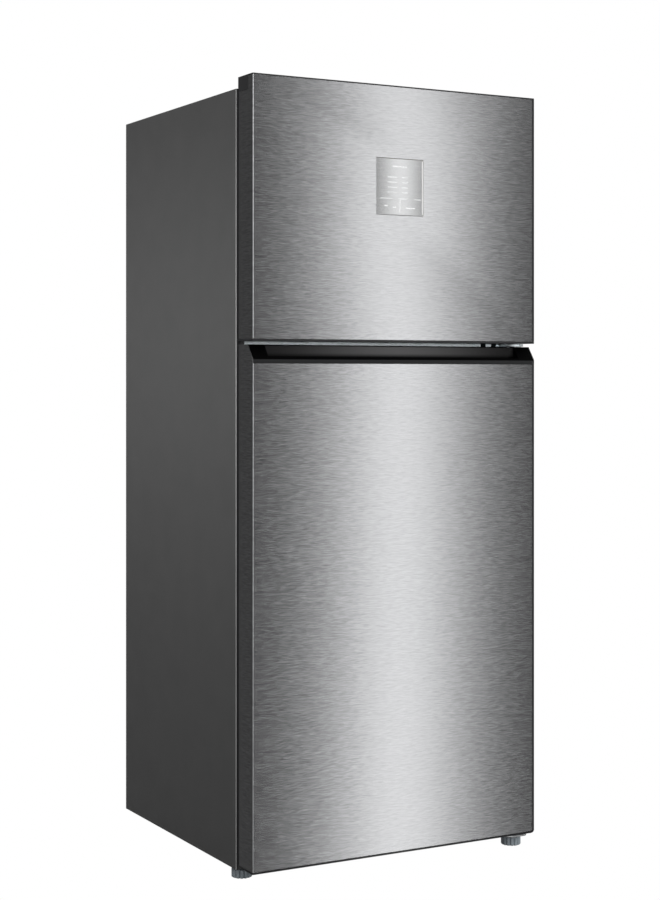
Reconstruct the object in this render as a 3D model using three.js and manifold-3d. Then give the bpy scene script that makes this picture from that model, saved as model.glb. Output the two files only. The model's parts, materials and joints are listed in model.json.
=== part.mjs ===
// Two-door top-freezer refrigerator.
// Millimetres, +Z up, front faces -Y, +X to the viewer's right.
// Origin on the floor, under the middle of the bounding box.
import * as THREE from 'three';
import { mergeVertices } from 'three/addons/utils/BufferGeometryUtils.js';
import Module from 'manifold-3d';

// ---------------------------------------------------------------- driving dimensions
const WIDTH = 700;
const DEPTH = 690;
const HEIGHT = 1670;
const SHEET = 1; // steel sheet
const GAP = 0.3; // clearance kept between pieces that touch
const WALL = 2; // thermoformed liners
const BOX_WALL = 2.5; // moulded drawers and bins

const HALF = WIDTH / 2;
const FRONT = -DEPTH / 2; // front face of both doors
const DOOR_DEPTH = 67.6;
const SEAL_DEPTH = 7.9;
const CABINET_DEPTH = 599;
const DOOR_BACK = FRONT + DOOR_DEPTH;
const CABINET_FRONT = DOOR_BACK + SEAL_DEPTH;
const CABINET_BACK = CABINET_FRONT + CABINET_DEPTH;
const CABINET_BOTTOM = 28;
const CABINET_TOP = 1648;
const FLANGE = 18; // folded edge of the cabinet sheet
const FOAM_FRONT = CABINET_FRONT + WALL + GAP;
const PANEL_FRONT = CABINET_BACK - 2 * SHEET - GAP; // inner face of the back panel
const FOAM_BACK = PANEL_FRONT - GAP;
const INSIDE = HALF - SHEET - GAP; // half width that fits inside the cabinet sheet

// underside of the insulation: flat, then up over the compressor
const PAN = { z: 40, turn: 109.5, top: 149.5, ledge: 240 };

// storage spaces, measured on the liner's inner faces
const FREEZER = { half: 283, low: 1157, high: 1581, back: 243, ridge: 1569 };
const FRIDGE = {
  half: 296, low: 97, high: 1083, back: 263, turn: 52, top: 95, ledge: 295, ridge: 1050,
};
const MULLION = { low: 1085.3, high: 1154.7 };

// doors
const EDGE_RADIUS = 3;
const RETURN = 12; // fold at the back of a door skin
const TRIM = 4.2; // visible edge of a door's bottom cap
const FREEZER_DOOR = { low: 1124, high: HEIGHT };
const FRIDGE_DOOR = { low: 36, high: 1116.8 };
const CAP_DEPTH = 16; // height of a bottom cap
const TOP_CAP_LOW = 1625;
const TOP_TRIM = 2.4; // edge of the top cap that shows above the skin
const TOP_CAP_SIDE_LOW = 1639; // where the cap shows on the door's side
const TOP_CAP_SIDE_FRONT = FRONT + 21;
const DYKE = { inset: 12, width: 18, wall: 2.5, end: -240 };
const SEAL = { open: 346.5, hinge: 332, inner: 316, width: 16 };
const PANEL = { half: 58, low: 1394.5, high: 1515, thick: 12 };

// pull recess along the top of the fridge door
const HANDLE = { cap: 1058, lip: 1078, edge: 1085.5, run: 22.7 };
const POCKET = { left: -312, right: 309, front: FRONT + 4, back: -320, low: 1062, high: 1115 };

// door hinges, all on one vertical axis
const AXIS = { x: 328, y: FRONT + 31 };
const PIN = 5;
const PIN_HOLE = PIN + GAP;
const NOTCH = { x: 298, y: FRONT + 5, z: 1646.3 };

// feet and rollers
const FOOT_RADIUS = 22;
const FOOT_HEIGHT = 18;
const LEFT_FOOT = { x: -316, y: -225, top: 37 };
const RIGHT_FOOT = { x: 328, y: -284, top: 34.5 };
const HINGE_PLATE = { low: 28.3, high: 32.3 };
const RAIL = { low: 33.3, high: 36.3 };
const ROLLER = { x: 278, y: 300, radius: 13, half: 8, axle: 4 };
const DECK = { front: 118, low: 28.3, high: 30.3, flange: 45 };

// inside
const SHELF_FRONT = -118;
const SHELF_BACK = 238;
const SHELF = 4;
const SHELF_LEVELS = { top_shelf: 905, middle_shelf: 700, lower_shelf: 520, crisper_cover: 300 };
const FREEZER_SHELF = { z: 1370, front: -150, back: 155 };
const LEDGE = 10;
const BIN_BACK = -187; // deepest reach of the door bins into the cabinet
const ICE = { x: -210, z: 1528, half: 45, front: -98, back: 80, low: 1513, high: 1543 };
const FAN = { z: 1460, radius: 46, front: 174, hub: 14, back: 190 };
const COMPRESSOR = { x: 130, y: 238, radius: 76, low: 40, high: 200 };

const ROUND = 24; // sides of a large round piece
const SMALL_ROUND = 12;

// ---------------------------------------------------------------- materials
const material = (color, roughness, metalness = 0) =>
  new THREE.MeshStandardMaterial({ color, roughness, metalness });

const DARK_STEEL = material(0x8a8b8c, 0.35, 1);
const CHARCOAL = material(0x474849, 0.55, 0.4);
const ZINC = material(0x9a9d9f, 0.45, 0.9);
const BLACK = material(0x101112, 0.4);
const GREY = material(0x55585a, 0.55);
const WHITE = material(0xeceeef, 0.45);
const FOAM = material(0xe6d9a8, 0.9);
const RUBBER = material(0x2a2b2c, 0.85);
const GLASS = material(0xcfe3e0, 0.05);
const CLEAR = material(0xdfe9ec, 0.15);
const ALUMINIUM = material(0xb9bcbe, 0.4, 0.9);
const COPPER = material(0xb06a3c, 0.4, 0.9);
const FOOT_GREY = material(0x6f777c, 0.5);

// ---------------------------------------------------------------- solid modelling
const wasm = await Module();
wasm.setup();

function solidOf(geometry) {
  const bare = new THREE.BufferGeometry();
  bare.setAttribute('position', geometry.getAttribute('position'));
  bare.setIndex(geometry.getIndex());
  const merged = mergeVertices(bare, 1e-3);
  const corners = merged.getIndex().array;
  const kept = [];
  for (let i = 0; i < corners.length; i += 3) {
    const [a, b, c] = corners.slice(i, i + 3);
    if (a !== b && b !== c && c !== a) kept.push(a, b, c);
  }
  return new wasm.Manifold(new wasm.Mesh({
    numProp: 3,
    vertProperties: new Float32Array(merged.getAttribute('position').array),
    triVerts: new Uint32Array(kept),
  }));
}

function geometryOf(solid) {
  const mesh = solid.getMesh();
  const geometry = new THREE.BufferGeometry();
  geometry.setAttribute('position', new THREE.BufferAttribute(mesh.vertProperties, 3));
  geometry.setIndex(new THREE.BufferAttribute(mesh.triVerts, 1));
  geometry.computeVertexNormals();
  return geometry;
}

function block(x0, x1, y0, y1, z0, z1) {
  const geometry = new THREE.BoxGeometry(x1 - x0, y1 - y0, z1 - z0);
  geometry.translate((x0 + x1) / 2, (y0 + y1) / 2, (z0 + z1) / 2);
  return solidOf(geometry);
}

function extruded(shape, length) {
  return new THREE.ExtrudeGeometry(shape, { depth: length, bevelEnabled: false, curveSegments: 6 });
}

const outline = (points) => new THREE.Shape(points.map(([u, v]) => new THREE.Vector2(u, v)));

// an XY outline raised from z0 to z1
function upright(shape, z0, z1) {
  const geometry = extruded(shape, z1 - z0);
  geometry.translate(0, 0, z0);
  return solidOf(geometry);
}

// a YZ outline drawn out from x0 to x1
function across(points, x0, x1) {
  const geometry = extruded(outline(points), x1 - x0);
  geometry.applyMatrix4(new THREE.Matrix4().set(0, 0, 1, x0, 1, 0, 0, 0, 0, 1, 0, 0, 0, 0, 0, 1));
  return solidOf(geometry);
}

function rod(direction, centre, radius, from, to, sides = SMALL_ROUND) {
  const geometry = new THREE.CylinderGeometry(radius, radius, to - from, sides);
  const middle = (from + to) / 2;
  if (direction === 'x') {
    geometry.rotateZ(-Math.PI / 2);
    geometry.translate(middle, centre[0], centre[1]);
  } else if (direction === 'y') {
    geometry.translate(centre[0], middle, centre[1]);
  } else {
    geometry.rotateX(Math.PI / 2);
    geometry.translate(centre[0], centre[1], middle);
  }
  return solidOf(geometry);
}

// a profile of [radius, height] points turned about a vertical axis
function turned(points, sides = ROUND) {
  const profile = points.map(([radius, height]) => new THREE.Vector2(radius, height));
  const geometry = new THREE.LatheGeometry(profile, sides);
  geometry.rotateX(Math.PI / 2);
  return geometry;
}

const join = (...solids) => solids.reduce((sum, solid) => sum.add(solid));
const cut = (solid, ...tools) => tools.reduce((rest, tool) => rest.subtract(tool), solid);

// a box with an open top
function tub(x0, x1, y0, y1, z0, z1, wall = BOX_WALL) {
  return cut(
    block(x0, x1, y0, y1, z0, z1),
    block(x0 + wall, x1 - wall, y0 + wall, y1 - wall, z0 + wall, z1 + wall),
  );
}

// a rectangular frame in the XZ plane
function frame(half, low, high, width, y0, y1) {
  return cut(
    block(-half, half, y0, y1, low, high),
    block(-half + width, half - width, y0 - 1, y1 + 1, low + width, high - width),
  );
}

// ---------------------------------------------------------------- scene graph
const refrigerator = new THREE.Group();

function assembly(pieces) {
  const group = new THREE.Group();
  for (const [name, look, solid] of pieces) {
    const mesh = new THREE.Mesh(geometryOf(solid), look);
    mesh.name = name;
    group.add(mesh);
  }
  refrigerator.add(group);
}

// ---------------------------------------------------------------- cabinet
// the fridge space's YZ outline, grown outwards by a distance
function fridgeOutline(grow, front) {
  const run = FRIDGE.top - FRIDGE.turn;
  const rise = FRIDGE.ledge - FRIDGE.low;
  const shift = grow * (Math.hypot(run, rise) - run) / rise;
  return [
    [front, FRIDGE.low - grow],
    [FRIDGE.turn + shift, FRIDGE.low - grow],
    [FRIDGE.top + shift, FRIDGE.ledge - grow],
    [FRIDGE.back + grow, FRIDGE.ledge - grow],
    [FRIDGE.back + grow, FRIDGE.high + grow],
    [front, FRIDGE.high + grow],
  ];
}

// the pan's YZ line, moved down by a distance
function panLine(drop) {
  const run = PAN.top - PAN.turn;
  const rise = PAN.ledge - PAN.z;
  const shift = drop * (Math.hypot(run, rise) - run) / rise;
  return [
    [FOAM_FRONT, PAN.z - drop],
    [PAN.turn + shift, PAN.z - drop],
    [PAN.top + shift, PAN.ledge - drop],
    [FOAM_BACK, PAN.ledge - drop],
  ];
}

// a plan with rounded front edges, drawn in from the outer faces of the whole
function roundedPlan(inset, outerFront, back) {
  const half = HALF - inset;
  const front = outerFront + inset;
  const radius = EDGE_RADIUS - inset;
  const plan = new THREE.Shape();
  plan.moveTo(-half, back);
  plan.lineTo(-half, front + radius);
  plan.absarc(-half + radius, front + radius, radius, Math.PI, 1.5 * Math.PI, false);
  plan.lineTo(half - radius, front);
  plan.absarc(half - radius, front + radius, radius, 1.5 * Math.PI, 2 * Math.PI, false);
  plan.lineTo(half, back);
  return plan;
}

// one sheet folded over the sides and top, with flanges turned in at the front and back
function cabinetShell() {
  const opening = HALF - FLANGE;
  const foldEnd = HALF - EDGE_RADIUS;
  return cut(
    upright(roundedPlan(0, CABINET_FRONT, CABINET_BACK), CABINET_BOTTOM, CABINET_TOP),
    upright(roundedPlan(SHEET, CABINET_FRONT, CABINET_BACK - SHEET), 0, CABINET_TOP - SHEET),
    block(-opening, opening, FRONT, HALF, 0, CABINET_TOP - FLANGE),
    block(-foldEnd, foldEnd, FRONT, FOAM_FRONT, 0, PAN.z),
  );
}

function cabinetFoam() {
  const clear = WALL + GAP;
  const body = across(
    [...panLine(-GAP), [FOAM_BACK, CABINET_TOP - SHEET - GAP], [FOAM_FRONT, CABINET_TOP - SHEET - GAP]],
    -INSIDE,
    INSIDE,
  );
  const freezerHalf = FREEZER.half + clear;
  const freezer = block(
    -freezerHalf, freezerHalf,
    FRONT, FREEZER.back + clear,
    FREEZER.low - clear, FREEZER.high + clear,
  );
  const fridge = across(fridgeOutline(clear, FRONT), -FRIDGE.half - clear, FRIDGE.half + clear);
  return cut(body, freezer, fridge);
}

function linerFlange(space, low, high) {
  const half = HALF - FLANGE - GAP;
  return cut(
    block(-half, half, CABINET_FRONT, CABINET_FRONT + WALL, low, high),
    block(-space.half, space.half, FRONT, 0, space.low, space.high),
  );
}

// shelf supports moulded into both side walls
function ledges(space, front, back, levels) {
  return levels.flatMap((z) => [-1, 1].map((side) => {
    const inner = side * (space.half - LEDGE);
    const outer = side * (space.half + 1);
    return block(Math.min(inner, outer), Math.max(inner, outer), front, back, z - LEDGE - GAP, z - GAP);
  }));
}

function freezerLiner() {
  const half = FREEZER.half + WALL;
  const shell = cut(
    block(-half, half, CABINET_FRONT, FREEZER.back + WALL, FREEZER.low - WALL, FREEZER.high + WALL),
    block(-FREEZER.half, FREEZER.half, FRONT, FREEZER.back, FREEZER.low, FREEZER.high),
  );
  return join(
    shell,
    linerFlange(FREEZER, MULLION.high + GAP, CABINET_TOP - FLANGE - GAP),
    ...ledges(FREEZER, FREEZER_SHELF.front, FREEZER_SHELF.back, [FREEZER_SHELF.z]),
  );
}

function fridgeLiner() {
  const half = FRIDGE.half + WALL;
  const shell = cut(
    across(fridgeOutline(WALL, CABINET_FRONT), -half, half),
    across(fridgeOutline(0, FRONT), -FRIDGE.half, FRIDGE.half),
  );
  const { crisper_cover: lowest, ...upper } = SHELF_LEVELS;
  return join(
    shell,
    linerFlange(FRIDGE, PAN.z + 1, MULLION.low - GAP),
    ...ledges(FRIDGE, SHELF_FRONT, SHELF_BACK, Object.values(upper)),
    ...ledges(FRIDGE, SHELF_FRONT, FRIDGE.turn, [lowest]),
  );
}

function frontRail() {
  const half = HALF - SHEET - 0.5;
  const front = FOAM_FRONT + 0.7;
  return cut(
    join(
      block(-half, half, front, front + 96, RAIL.low, RAIL.high),
      block(-half, half, front, front + 2, RAIL.low, PAN.z - SHEET - GAP),
    ),
    rod('z', [LEFT_FOOT.x, LEFT_FOOT.y], PIN_HOLE, 0, PAN.z),
  );
}

// plate under the compressor, with folded ears that carry the rear rollers on pins
function compressorDeck() {
  const half = HALF - SHEET - 0.5;
  const lip = DECK.high - DECK.low;
  const parts = [
    block(-half, half, DECK.front, FOAM_BACK, DECK.low, DECK.high),
    block(-half, half, DECK.front, DECK.front + lip, DECK.low, DECK.flange),
    block(-half, half, FOAM_BACK - lip, FOAM_BACK, DECK.low, DECK.flange),
  ];
  for (const x of [-ROLLER.x, ROLLER.x]) {
    const reach = ROLLER.half + 1;
    for (const [near, far] of [[-reach - 3, -reach], [reach, reach + 3]]) {
      parts.push(block(x + near, x + far, ROLLER.y - 14, ROLLER.y + 14, 6, DECK.high));
    }
    const centre = [ROLLER.y, ROLLER.radius];
    parts.push(rod('x', centre, ROLLER.axle, x - reach - 1, x + reach + 1));
  }
  return join(...parts);
}

function compressor() {
  const { radius, low, high } = COMPRESSOR;
  const wall = 6;
  const port = 5;
  const can = turned([
    [0, low], [radius - 10, low], [radius, low + 12], [radius, high - 45],
    [radius * 0.75, high - 12], [port, high], [port, high - wall],
    [radius * 0.7, high - 12 - wall], [radius - wall, high - 48], [radius - wall, low + 14],
    [radius - 14, low + wall], [0, low + wall],
  ]);
  can.translate(COMPRESSOR.x, COMPRESSOR.y, 0);
  const { x, y } = COMPRESSOR;
  const plate = cut(
    block(x - 105, x + 105, y - 60, y + 60, low, low + 3),
    rod('z', [x, y], radius - 12, low - 1, low + 4, ROUND),
  );
  return join(solidOf(can), plate);
}

function suctionPipe() {
  const start = COMPRESSOR.x - COMPRESSOR.radius - 0.5;
  const { y } = COMPRESSOR;
  const path = new THREE.CatmullRomCurve3([
    new THREE.Vector3(start, y, 120),
    new THREE.Vector3(start - 40, y, 122),
    new THREE.Vector3(start - 66, y + 14, 150),
    new THREE.Vector3(start - 70, y + 40, 205),
    new THREE.Vector3(start - 70, y + 80, 226),
  ]);
  const section = new THREE.Shape().absarc(0, 0, 4, 0, 2 * Math.PI);
  const options = { steps: 14, bevelEnabled: false, extrudePath: path, curveSegments: 8 };
  return solidOf(new THREE.ExtrudeGeometry(section, options));
}

const COVER_FRONT = CABINET_BACK + GAP;
const COVER_BACK = COVER_FRONT + 1.5;
const GROMMET = { x: -290, z: 62, radius: 10 };

function compressorCover() {
  const plate = block(-338, 338, COVER_FRONT, COVER_BACK, 32, 256);
  const slots = [];
  for (const x of [-150, 130]) {
    for (let row = 0; row < 8; row += 1) {
      const z = 80 + row * 20;
      slots.push(block(x - 90, x + 90, COVER_FRONT - 1, COVER_BACK + 1, z, z + 7));
    }
  }
  slots.push(rod('y', [GROMMET.x, GROMMET.z], GROMMET.radius + GAP, COVER_FRONT - 1, COVER_BACK + 1));
  return cut(plate, ...slots);
}

function cordGrommet() {
  const centre = [GROMMET.x, GROMMET.z];
  return cut(
    join(
      rod('y', centre, GROMMET.radius, COVER_FRONT - 6, COVER_BACK + 1),
      rod('y', centre, GROMMET.radius + 4, COVER_BACK + GAP, COVER_BACK + 3.5),
    ),
    rod('y', centre, 4.5, COVER_FRONT - 7, COVER_BACK + 5),
  );
}

function rearSpacer(side) {
  const edges = [side * 285, side * 340];
  return block(Math.min(...edges), Math.max(...edges), COVER_FRONT, DEPTH / 2, 1570, 1600);
}

// ---------------------------------------------------------------- hinges
function topHinge() {
  const plate = outline([
    [262, -192], [342, -192], [342, -262], [337, -270], [337, AXIS.y], [333, AXIS.y - 9],
    [323, AXIS.y - 9], [319, AXIS.y], [319, -272], [314, -262], [262, -262],
  ]);
  const low = CABINET_TOP + GAP;
  return join(upright(plate, low, low + 3), rod('z', [AXIS.x, AXIS.y], PIN, 1632, low + 1));
}

function topHingeCover() {
  const nose = AXIS.y - 13;
  const outer = outline([
    [256, -184], [346, -184], [346, -262], [341, -268], [341, nose + 9], [336, nose],
    [320, nose], [315, nose + 9], [315, -274], [310, -266], [256, -266],
  ]);
  const inner = outline([
    [258, -186], [344, -186], [344, -261], [339, -267], [339, nose + 9.5], [335, nose + 2],
    [321, nose + 2], [317, nose + 9.5], [317, -273], [311, -264], [258, -264],
  ]);
  const top = HEIGHT - 1.5;
  return cut(upright(outer, CABINET_TOP + GAP, top), upright(inner, CABINET_TOP, top - WALL));
}

function middleHinge() {
  const back = CABINET_FRONT - GAP;
  const arm = outline([
    [300, back], [315, back], [338, -298], [338, -318], [333, -323], [323, -323], [314, -316], [300, -292],
  ]);
  return join(
    block(240, 315, back - 3, back, 1108, 1132),
    upright(arm, 1118, 1122.8),
    rod('z', [AXIS.x, AXIS.y], PIN, 1104, 1136),
  );
}

function bottomHinge() {
  const plate = outline([
    [288, -180], [346, -180], [346, -262], [341, -270], [341, -326], [333, -334], [300, -334], [288, -322],
  ]);
  return cut(
    join(
      upright(plate, HINGE_PLATE.low, HINGE_PLATE.high),
      rod('z', [AXIS.x, AXIS.y], PIN, HINGE_PLATE.high - 1, 50),
    ),
    rod('z', [RIGHT_FOOT.x, RIGHT_FOOT.y], PIN_HOLE, 0, PAN.z),
  );
}

// ---------------------------------------------------------------- cooling
function evaporator() {
  const slots = [];
  for (let x = -220; x < 220; x += 30) {
    slots.push(block(x, x + 20, 170, 216, 1170, 1370));
  }
  return cut(block(-230, 230, 176, 236, 1180, 1360), ...slots);
}

function evaporatorCover() {
  const half = FREEZER.half - 0.5;
  const slots = [];
  for (const x of [-200, -70, 60, 190]) {
    for (const z of [1175, 1548]) {
      slots.push(block(x - 50, x + 40, 150, 170, z, z + 12));
    }
  }
  return cut(block(-half, half, 160, 166, FREEZER.low + 0.5, FREEZER.high - 0.5), ...slots);
}

function fanMotor() {
  return join(
    rod('y', [0, FAN.z], 22, FAN.back + 6, 236, SMALL_ROUND),
    block(-70, 70, 228, 234, FAN.z - 8, FAN.z + 8),
    rod('y', [0, FAN.z], 2.5, FAN.back - 5, FAN.back + 8),
  );
}

function evaporatorFan() {
  const blades = 5;
  const middle = (FAN.front + FAN.back) / 2;
  let rotor = rod('y', [0, FAN.z], FAN.hub, FAN.front, FAN.back, SMALL_ROUND);
  for (let i = 0; i < blades; i += 1) {
    const blade = new THREE.BoxGeometry(30, 1.6, FAN.radius - FAN.hub + 4);
    blade.rotateZ(Math.PI / 7);
    blade.translate(0, 0, (FAN.radius + FAN.hub - 4) / 2);
    blade.rotateY((i * 2 * Math.PI) / blades);
    blade.translate(0, middle, FAN.z);
    rotor = rotor.add(solidOf(blade));
  }
  return cut(rotor, rod('y', [0, FAN.z], 2.5 + GAP, FAN.back - 5 - GAP, FAN.back + 5));
}

function airDuct() {
  const [low, high] = [312, 1075];
  const front = 243;
  const back = FRIDGE.back - GAP;
  const slots = [];
  for (const z of [400, 600, 790, 1055]) {
    slots.push(block(-60, 60, front - 1, front + 5, z, z + 10));
  }
  return cut(
    block(-90, 90, front, back, low, high),
    block(-86, 86, front + 4, back + 1, low + 4, high - 4),
    ...slots,
  );
}

// ---------------------------------------------------------------- shelves, drawers, ice maker
const shelf = (z) => block(-294, 294, SHELF_FRONT, SHELF_BACK, z, z + SHELF);

function chillerDrawer() {
  const low = SHELF_LEVELS.top_shelf + SHELF + GAP;
  return join(
    tub(-285, 285, -112, 225, low, 1040),
    block(-285, 285, -118, -111, 1026, 1040),
  );
}

// the back slopes to clear the compressor housing
function crisperDrawer(x0, x1) {
  const [front, low, high] = [-115, 102, 285];
  const outer = across([[front, low], [46, low], [86, high], [front, high]], x0, x1);
  const inner = across(
    [[front + BOX_WALL, low + BOX_WALL], [43.5, low + BOX_WALL], [84.5, high + 5], [front + BOX_WALL, high + 5]],
    x0 + BOX_WALL,
    x1 - BOX_WALL,
  );
  return join(cut(outer, inner), block(x0, x1, front - 6, front + 1, high - 14, high));
}

function iceMakerFrame() {
  const [front, back] = [ICE.front - 7, ICE.back + 9];
  const half = ICE.half + 11;
  const [low, high] = [1505, FREEZER.high - GAP];
  return cut(
    block(ICE.x - half, ICE.x + half, front, back, low, high),
    block(ICE.x - half + 4, ICE.x + half - 4, front + 4, back - 4, low - 1, high + 1),
    rod('y', [ICE.x, ICE.z], 6 + GAP, front - 1, back + 1),
  );
}

function iceTray() {
  const cup = 38;
  const pitch = 43.3;
  const cups = [];
  for (const x of [ICE.x - 41, ICE.x + 3]) {
    for (let row = 0; row < 4; row += 1) {
      const y = ICE.front + 5 + row * pitch;
      cups.push(block(x, x + cup, y, y + cup, ICE.low + 3, ICE.high + 1));
    }
  }
  return cut(
    join(
      block(ICE.x - ICE.half, ICE.x + ICE.half, ICE.front, ICE.back, ICE.low, ICE.high),
      rod('y', [ICE.x, ICE.z], 6, ICE.front - 12, ICE.front + 1),
      rod('y', [ICE.x, ICE.z], 6, ICE.back - 1, ICE.back + 8),
      rod('y', [ICE.x, ICE.z], 18, ICE.front - 22, ICE.front - 10, ROUND),
    ),
    ...cups,
  );
}

function iceBin() {
  const low = FREEZER_SHELF.z + SHELF + GAP;
  return join(
    tub(-272, -148, -138, 120, low, 1474),
    block(-272, -148, -144, -137, 1462, 1474),
  );
}

// ---------------------------------------------------------------- doors
const doorPlan = (inset, back) => roundedPlan(inset, FRONT, back);

const INNER = SHEET + GAP;
const SKIN_BACK = DOOR_BACK - SHEET;

function doorSkin(low, high) {
  const open = HALF - RETURN;
  return cut(
    upright(doorPlan(0, DOOR_BACK), low, high),
    upright(doorPlan(SHEET, SKIN_BACK), low - 1, high + 1),
    block(-open, open, SKIN_BACK - 1, DOOR_BACK + 1, low - 1, high + 1),
  );
}

const hingeHole = (z0, z1) => rod('z', [AXIS.x, AXIS.y], PIN_HOLE, z0, z1);
const notch = () => block(NOTCH.x, HALF + 1, NOTCH.y, DOOR_BACK + 1, NOTCH.z, HEIGHT + 1);

function freezerDoorSkin() {
  const panel = PANEL.half + GAP;
  const sides = block(-HALF - 1, HALF + 1, TOP_CAP_SIDE_FRONT, 0, TOP_CAP_SIDE_LOW, HEIGHT + 1);
  return cut(
    doorSkin(FREEZER_DOOR.low + TRIM + GAP, HEIGHT - TOP_TRIM - GAP),
    sides,
    notch(),
    block(-panel, panel, FRONT - 1, FRONT + 2, PANEL.low - GAP, PANEL.high + GAP),
  );
}

function freezerDoorTopCap() {
  const side = TOP_CAP_SIDE_LOW + GAP;
  return cut(
    join(
      upright(doorPlan(INNER, SKIN_BACK - GAP), TOP_CAP_LOW, side + 1),
      upright(doorPlan(INNER, DOOR_BACK), side, HEIGHT),
      upright(doorPlan(0, DOOR_BACK), HEIGHT - TOP_TRIM, HEIGHT),
      block(-HALF, HALF, TOP_CAP_SIDE_FRONT + GAP, DOOR_BACK, side, HEIGHT),
    ),
    notch(),
    hingeHole(TOP_CAP_LOW + 3, HEIGHT),
  );
}

function bottomCap(low) {
  return cut(
    join(
      upright(doorPlan(0, DOOR_BACK), low, low + TRIM),
      upright(doorPlan(INNER, SKIN_BACK - GAP), low, low + CAP_DEPTH),
    ),
    hingeHole(low - 1, low + CAP_DEPTH - 1.5),
  );
}

// the moulded ridge around a door's lining, which reaches into the storage space
function dyke(space) {
  return { half: space.half - DYKE.inset, low: space.low + DYKE.inset, high: space.ridge };
}

function doorLiner(space, low, high) {
  const half = HALF - RETURN - GAP;
  const back = DOOR_BACK - WALL;
  const ring = dyke(space);
  const { wall, width, end } = DYKE;
  const ridge = frame(ring.half, ring.low, ring.high, width, back, end);
  const inner = [ring.half - wall, ring.low + wall, ring.high - wall, width - 2 * wall];
  return cut(
    join(block(-half, half, back, DOOR_BACK, low, high), ridge),
    frame(...inner, back - 1, end - wall),
  );
}

function doorFoam(space, low, high) {
  const ring = dyke(space);
  const { wall, width, end } = DYKE;
  const thick = wall + GAP;
  const back = DOOR_BACK - WALL - GAP;
  const inner = [ring.half - thick, ring.low + thick, ring.high - thick, width - 2 * thick];
  return join(
    upright(doorPlan(INNER, back), low, high),
    frame(...inner, back - 1, end - thick),
  );
}

// set in on the hinge side, so that it clears the cabinet as the door swings
function gasket(low, high) {
  const [y0, y1] = [DOOR_BACK + GAP, CABINET_FRONT - GAP];
  return cut(
    block(-SEAL.open, SEAL.hinge, y0, y1, low, high),
    block(-SEAL.inner, SEAL.inner, y0 - 1, y1 + 1, low + SEAL.width, high - SEAL.width),
  );
}

function doorBin(space, z0, z1) {
  const half = dyke(space).half - DYKE.width - 4;
  return tub(-half, half, DOOR_BACK + GAP, BIN_BACK, z0, z1);
}

// the side sheets run up to the slanted face of the handle cap
function fridgeDoorSkin() {
  const { lip, edge, run } = HANDLE;
  const top = FRIDGE_DOOR.high;
  const inside = HALF - SHEET;
  const above = [
    [FRONT - 1, edge], [FRONT, edge], [FRONT + run, top], [FRONT + run, top + 2], [FRONT - 1, top + 2],
  ];
  return cut(
    doorSkin(FRIDGE_DOOR.low + TRIM + GAP, top),
    block(-inside, inside, FRONT - 1, DOOR_BACK + 1, lip - GAP, top + 1),
    across(above, -HALF - 1, HALF + 1),
  );
}

function handleCap() {
  const { lip, edge, run, cap } = HANDLE;
  const top = FRIDGE_DOOR.high;
  const slant = [
    [FRONT, lip], [FRONT, edge], [FRONT + run, top], [DOOR_BACK, top], [DOOR_BACK, lip],
  ];
  const { front, back, low, high } = POCKET;
  const slope = (top - edge) / run;
  const mouth = edge + (front - FRONT) * slope;
  const pocket = [
    [front, low], [back, low], [back, high], [FRONT - 1, high], [FRONT - 1, mouth + 8], [front, mouth],
  ];
  return cut(
    join(
      upright(doorPlan(INNER, SKIN_BACK - GAP), cap, lip + 1),
      across(slant, INNER - HALF, HALF - INNER),
    ),
    across(pocket, POCKET.left, POCKET.right),
    hingeHole(top - 16, top + 1),
  );
}

function freezerDoorFoam() {
  const half = PANEL.half + GAP;
  return cut(
    doorFoam(FREEZER, FREEZER_DOOR.low + CAP_DEPTH + GAP, TOP_CAP_LOW - GAP),
    block(-half, half, FRONT, FRONT + PANEL.thick + GAP, PANEL.low - GAP, PANEL.high + GAP),
  );
}

// ---------------------------------------------------------------- feet and rollers
function foot({ x, y, top }) {
  return join(
    rod('z', [x, y], FOOT_RADIUS, 0, FOOT_HEIGHT, ROUND),
    rod('z', [x, y], PIN, FOOT_HEIGHT - 1, top),
  );
}

function roller(x) {
  const centre = [ROLLER.y, ROLLER.radius];
  return cut(
    rod('x', centre, ROLLER.radius, x - ROLLER.half, x + ROLLER.half, ROUND),
    rod('x', centre, ROLLER.axle + 0.4, x - ROLLER.half - 1, x + ROLLER.half + 1),
  );
}

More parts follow.
